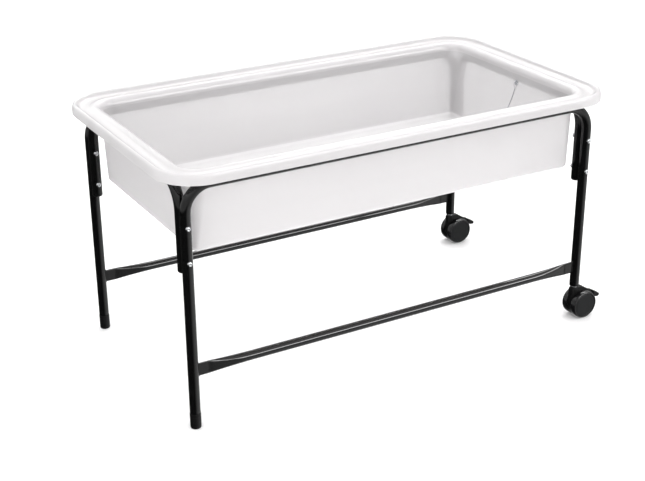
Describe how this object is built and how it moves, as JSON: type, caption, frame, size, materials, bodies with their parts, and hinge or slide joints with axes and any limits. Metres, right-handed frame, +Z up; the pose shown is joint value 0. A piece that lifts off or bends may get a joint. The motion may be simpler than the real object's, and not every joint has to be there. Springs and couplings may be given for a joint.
{
  "type": "sand and water table",
  "caption": "Rolling play table: a deep milky plastic tray with a broad rim dropped into a bolted stand of bent black steel tube, with plain feet at one end and braked casters at the other.",
  "frame": {"origin": "on the floor, under the middle of the whole table's bounding box", "axes": "+X along the long side towards the casters, +Y from the front long side to the rear one, +Z up"},
  "size_m": [1.2296, 0.669, 0.626],
  "materials": {
    "black_paint": "semi-gloss black powder coat",
    "zinc": "bright zinc plate",
    "black_plastic": "moulded black plastic, satin",
    "wheel_plastic": "moulded dark grey plastic with a glossy rounded edge",
    "milky_plastic": "milky translucent white plastic, semi-gloss",
    "grey_rubber": "smooth grey rubber",
    "grey_cord": "braided grey cord"
  },
  "bodies": {
    "stand": {"front_frame": "black_paint", "rear_frame": "black_paint", "left_cross_tube": "black_paint", "right_cross_tube": "black_paint", "front_stretcher": "black_paint", "rear_stretcher": "black_paint", "front_foot_tip": "black_plastic", "front_left_tube_cap": "black_plastic", "front_left_lower_bolt": "zinc", "front_left_lower_nut": "zinc", "front_left_upper_bolt": "zinc", "front_left_upper_nut": "zinc", "front_right_tube_cap": "black_plastic", "front_right_lower_bolt": "zinc", "front_right_lower_nut": "zinc", "front_right_upper_bolt": "zinc", "front_right_upper_nut": "zinc", "front_caster_socket": "black_plastic", "rear_foot_tip": "black_plastic", "rear_left_tube_cap": "black_plastic", "rear_left_lower_bolt": "zinc", "rear_left_lower_nut": "zinc", "rear_left_upper_bolt": "zinc", "rear_left_upper_nut": "zinc", "rear_right_tube_cap": "black_plastic", "rear_right_lower_bolt": "zinc", "rear_right_lower_nut": "zinc", "rear_right_upper_bolt": "zinc", "rear_right_upper_nut": "zinc", "rear_caster_socket": "black_plastic"},
    "front_caster": {"front_caster_stem": "zinc", "front_caster_housing": "black_plastic", "front_caster_axle": "zinc", "front_caster_brake_pin": "zinc"},
    "front_brake": {"front_caster_brake_pedal": "black_plastic"},
    "front_outer_wheel": {"front_caster_outer_tyre": "wheel_plastic", "front_caster_outer_hub": "wheel_plastic"},
    "front_inner_wheel": {"front_caster_inner_tyre": "wheel_plastic", "front_caster_inner_hub": "wheel_plastic"},
    "rear_caster": {"rear_caster_stem": "zinc", "rear_caster_housing": "black_plastic", "rear_caster_axle": "zinc", "rear_caster_brake_pin": "zinc"},
    "rear_brake": {"rear_caster_brake_pedal": "black_plastic"},
    "rear_outer_wheel": {"rear_caster_outer_tyre": "wheel_plastic", "rear_caster_outer_hub": "wheel_plastic"},
    "rear_inner_wheel": {"rear_caster_inner_tyre": "wheel_plastic", "rear_caster_inner_hub": "wheel_plastic"},
    "tray": {"tray": "milky_plastic", "drain_outlet": "milky_plastic", "drain_lock_nut": "milky_plastic", "cord_staple": "zinc", "cord_ring": "zinc", "plug_cord": "grey_cord"},
    "plug": {"drain_plug": "grey_rubber"}
  },
  "joints": [
    {"name": "front_caster_swivel", "type": "hinge", "parent": "stand", "child": "front_caster", "pos_m": [0.53025, -0.2845, 0], "axis": [0, 0, 1], "continuous": true},
    {"name": "front_brake_press", "type": "hinge", "parent": "front_caster", "child": "front_brake", "pos_m": [0.57425, -0.2845, 0.06], "axis": [0, 1, 0], "range_deg": [0, 12]},
    {"name": "front_outer_wheel_roll", "type": "hinge", "parent": "front_caster", "child": "front_outer_wheel", "pos_m": [0.55225, -0.2845, 0.0375], "axis": [0, 1, 0], "continuous": true},
    {"name": "front_inner_wheel_roll", "type": "hinge", "parent": "front_caster", "child": "front_inner_wheel", "pos_m": [0.55225, -0.2845, 0.0375], "axis": [0, 1, 0], "continuous": true},
    {"name": "rear_caster_swivel", "type": "hinge", "parent": "stand", "child": "rear_caster", "pos_m": [0.53025, 0.2845, 0], "axis": [0, 0, 1], "continuous": true},
    {"name": "rear_brake_press", "type": "hinge", "parent": "rear_caster", "child": "rear_brake", "pos_m": [0.57425, 0.2845, 0.06], "axis": [0, 1, 0], "range_deg": [0, 12]},
    {"name": "rear_outer_wheel_roll", "type": "hinge", "parent": "rear_caster", "child": "rear_outer_wheel", "pos_m": [0.55225, 0.2845, 0.0375], "axis": [0, 1, 0], "continuous": true},
    {"name": "rear_inner_wheel_roll", "type": "hinge", "parent": "rear_caster", "child": "rear_inner_wheel", "pos_m": [0.55225, 0.2845, 0.0375], "axis": [0, 1, 0], "continuous": true},
    {"name": "tray_lift", "type": "slide", "parent": "stand", "child": "tray", "axis": [0, 0, 1], "range_m": [0, 0.22]},
    {"name": "plug_pull", "type": "slide", "parent": "tray", "child": "plug", "axis": [0, 0, 1], "range_m": [0, 0.035], "deforming": ["plug_cord"]}
  ]
}
